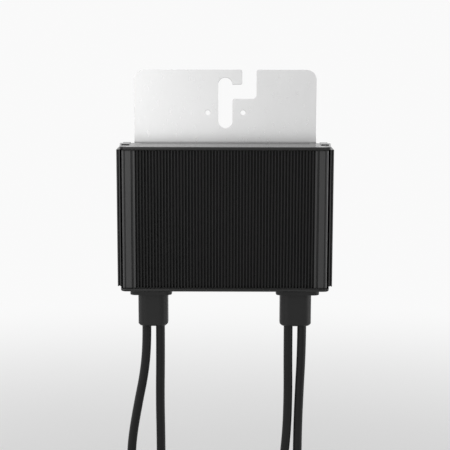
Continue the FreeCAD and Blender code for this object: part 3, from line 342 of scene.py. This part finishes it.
def extrusion():
    """Black anodised aluminium with drawn lines along Z; painted shade makes the ribs reflect less
    than the strips and dims the reflection in crevices.
    """
    material, tree, shader = new_material("black_aluminium")
    lines = object_noise(tree, 700, 5, (6, 6, 0.25))
    broad = object_noise(tree, PATCH_SCALE, PATCH_DETAIL)
    field = rib_field(tree)
    tree.links.new(ramp(tree, broad, grey(0.007), grey(0.010)), shader.inputs["Base Color"])
    # Painted shade and light: the ribs get a weaker reflection and the plain strips a stronger one
    painted_gloss = between(tree, field, STRIP_PAINTED_LIGHT_GLOSS, RIB_PAINTED_SHADE_GLOSS)
    # Painted shade: ambient occlusion dims the reflection in crevices, harder on the strips than on
    # the ribs
    painted_crevice_shade = add_node(tree, "ShaderNodeAmbientOcclusion", samples=CORNER_SHADE_SAMPLES,
                        Distance=CORNER_SHADE_REACH)
    shade = add_node(tree, "ShaderNodeMath", operation="POWER")
    tree.links.new(painted_crevice_shade.outputs["AO"], shade.inputs[0])
    tree.links.new(between(tree, field, STRIP_SHADE, RIB_SHADE), shade.inputs[1])
    shaded = add_node(tree, "ShaderNodeMath", operation="MULTIPLY")
    tree.links.new(painted_gloss, shaded.inputs[0])
    tree.links.new(shade.outputs["Value"], shaded.inputs[1])
    tree.links.new(shaded.outputs["Value"], shader.inputs["Specular IOR Level"])
    tree.links.new(between(tree, lines, 0.26, 0.36, NOISE_LOW, NOISE_HIGH),
                   shader.inputs["Roughness"])
    bump(tree, shader, lines, 0.15)
    return material


materials = {
    "sheet_metal": surface("sheet_metal", grey(0.62), grey(0.65), (0.27, 0.32), metallic=1.0,
                           grain=(160, 6), stretch=(5, 5, 1), bump_strength=0.03),
    "black_aluminium": extrusion(),
    "black_plastic": surface("black_plastic", grey(0.007), grey(0.010), (0.15, 0.23),
                             specular=0.33),
    "gland_plastic": surface("gland_plastic", grey(0.007), grey(0.010), (0.36, 0.48),
                             bump_strength=0.5, specular=0.25),
    "connector_plastic": surface("connector_plastic", grey(0.008), grey(0.011), (0.38, 0.50),
                                 bump_strength=0.5, specular=0.30),
    "cable_jacket": surface("cable_jacket", grey(0.006), grey(0.009), (0.38, 0.48),
                            specular=0.18),
    "seal_rubber": surface("seal_rubber", grey(0.015), grey(0.025), (0.60, 0.75)),
    "screw_steel": surface("screw_steel", grey(0.45), grey(0.55), (0.25, 0.35), metallic=1.0),
    "spring_steel": surface("spring_steel", grey(0.50), grey(0.60), (0.25, 0.38), metallic=1.0),
    "board_laminate": surface("board_laminate", (0.01, 0.06, 0.02), (0.015, 0.09, 0.03),
                              (0.25, 0.35)),
    "chip_resin": surface("chip_resin", grey(0.015), grey(0.03), (0.5, 0.6)),
    "ferrite": surface("ferrite", grey(0.03), grey(0.05), (0.55, 0.7)),
    "copper_wire": surface("copper_wire", (0.40, 0.12, 0.04), (0.55, 0.20, 0.07), (0.25, 0.35),
                           metallic=1.0),
    "capacitor_case": surface("capacitor_case", (0.45, 0.44, 0.38), (0.55, 0.54, 0.47), (0.4, 0.5)),
    "pad_silicone": surface("pad_silicone", (0.40, 0.42, 0.45), (0.48, 0.50, 0.54), (0.6, 0.7)),
    "insulation_film": surface("insulation_film", (0.60, 0.52, 0.30), (0.70, 0.62, 0.40),
                               (0.3, 0.4)),
    "tinned_copper": surface("tinned_copper", grey(0.55), grey(0.65), (0.25, 0.35), metallic=1.0),
}

slots = {item["node"]: item["material_slot"] for item in frame["record"]["subparts"]}


# Pieces shown with rounded edges, and how far each rounding reaches from its edge
SHARP_ANGLE = math.radians(32)
SAME_PLACE = 0.001 * MM
FLAT_ANGLE = math.radians(0.3)


def softened(name, width):
    """The same piece with its sharp edges rounded, as a mesh of its own."""
    mesh = nodes[name].data.copy()
    mesh.name = name + "_soft"
    bm = bmesh.new()
    bm.from_mesh(mesh)
    bmesh.ops.remove_doubles(bm, verts=bm.verts, dist=SAME_PLACE)
    bmesh.ops.dissolve_limit(bm, angle_limit=FLAT_ANGLE, verts=bm.verts, edges=bm.edges)
    for face in bm.faces:
        face.smooth = True
    bm.to_mesh(mesh)
    bm.free()
    if "custom_normal" in mesh.attributes:
        mesh.attributes.remove(mesh.attributes["custom_normal"])
    mesh.materials.clear()
    mesh.materials.append(materials[slots[name]])
    piece = bpy.data.objects.new(mesh.name, mesh)
    scene.collection.objects.link(piece)
    rounding = piece.modifiers.new("rounding", "BEVEL")
    rounding.width = width
    rounding.segments = 2
    rounding.limit_method = "ANGLE"
    rounding.angle_limit = SHARP_ANGLE
    piece.modifiers.new("flat_faces", "WEIGHTED_NORMAL").weight = 60
    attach(piece, "root")
    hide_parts(name)
    return piece


SOFT_EDGES = {
    "mounting_bracket": 0.30 * MM,
    "front_cover": 0.10 * MM,
    "rear_tray": 0.20 * MM,
    "top_end_cap": 0.15 * MM,
    "bottom_end_cap": 0.15 * MM,
    "input_gland": 0.50 * MM,
    "output_gland": 0.50 * MM,
    "coil_tie": 0.50 * MM,
}
for side in ("input", "output"):
    for number in (1, 2):
        for piece in ("nut", "body"):
            SOFT_EDGES["%s_connector_%d_%s" % (side, number, piece)] = 0.40 * MM

for name, node in nodes.items():
    node.data.materials.clear()
    node.data.materials.append(materials[slots[name]])

soft_pieces = {name: softened(name, width) for name, width in SOFT_EDGES.items()}

for name, (points, solid, connector, length) in LEADS.items():
    cords[name].data.materials.append(materials["cable_jacket"])


PALE = (0.95, 0.95, 0.95, 1)


def seen_directly(tree):
    """One for rays from the camera, from a reflection or through glass, and zero for others."""
    path = tree.nodes.new("ShaderNodeLightPath")
    value = path.outputs["Is Camera Ray"]
    for name in ("Is Glossy Ray", "Is Transmission Ray"):
        either = add_node(tree, "ShaderNodeMath", operation="MAXIMUM")
        tree.links.new(value, either.inputs[0])
        tree.links.new(path.outputs[name], either.inputs[1])
        value = either.outputs["Value"]
    return value


def make_floor_material():
    """Pale paper that keeps the shadow near the part and meets the pale room further out."""
    material, tree, shader = new_material("floor_paper")
    shader.inputs["Roughness"].default_value = 0.9
    tree.links.new(ramp(tree, object_noise(tree, 3, 2), grey(0.82), grey(0.85)),
                   shader.inputs["Base Color"])
    glow = add_node(tree, "ShaderNodeEmission", Strength=1.0)
    glow.inputs["Color"].default_value = PALE
    place = tree.nodes.new("ShaderNodeTexCoord")
    distance = add_node(tree, "ShaderNodeVectorMath", operation="LENGTH")
    tree.links.new(place.outputs["Object"], distance.inputs[0])
    far = add_node(tree, "ShaderNodeMapRange", interpolation_type="SMOOTHSTEP")
    far.inputs["From Min"].default_value = 0.5
    far.inputs["From Max"].default_value = 1.6
    tree.links.new(distance.outputs["Value"], far.inputs["Value"])
    share = add_node(tree, "ShaderNodeMath", operation="MULTIPLY")
    tree.links.new(far.outputs["Result"], share.inputs[0])
    tree.links.new(seen_directly(tree), share.inputs[1])
    mix = tree.nodes.new("ShaderNodeMixShader")
    tree.links.new(share.outputs["Value"], mix.inputs["Fac"])
    tree.links.new(shader.outputs["BSDF"], mix.inputs[1])
    tree.links.new(glow.outputs["Emission"], mix.inputs[2])
    output = next(node for node in tree.nodes if node.type == "OUTPUT_MATERIAL")
    tree.links.new(mix.outputs["Shader"], output.inputs["Surface"])
    return material


floor.data.materials.append(make_floor_material())


def make_world():
    """A pale room to the camera, in reflections and through glass, and a plain dimmer light."""
    world = bpy.data.worlds.new("room")
    world.use_nodes = True
    tree = world.node_tree
    room = tree.nodes["Background"]
    room.inputs["Color"].default_value = (0.62, 0.62, 0.62, 1)
    room.inputs["Strength"].default_value = 0.6
    pale = add_node(tree, "ShaderNodeBackground", Strength=1.0)
    pale.inputs["Color"].default_value = PALE
    mix = tree.nodes.new("ShaderNodeMixShader")
    tree.links.new(seen_directly(tree), mix.inputs["Fac"])
    tree.links.new(room.outputs["Background"], mix.inputs[1])
    tree.links.new(pale.outputs["Background"], mix.inputs[2])
    tree.links.new(mix.outputs["Shader"], tree.nodes["World Output"].inputs["Surface"])
    scene.world = world


make_world()
scene.view_settings.view_transform = "Standard"
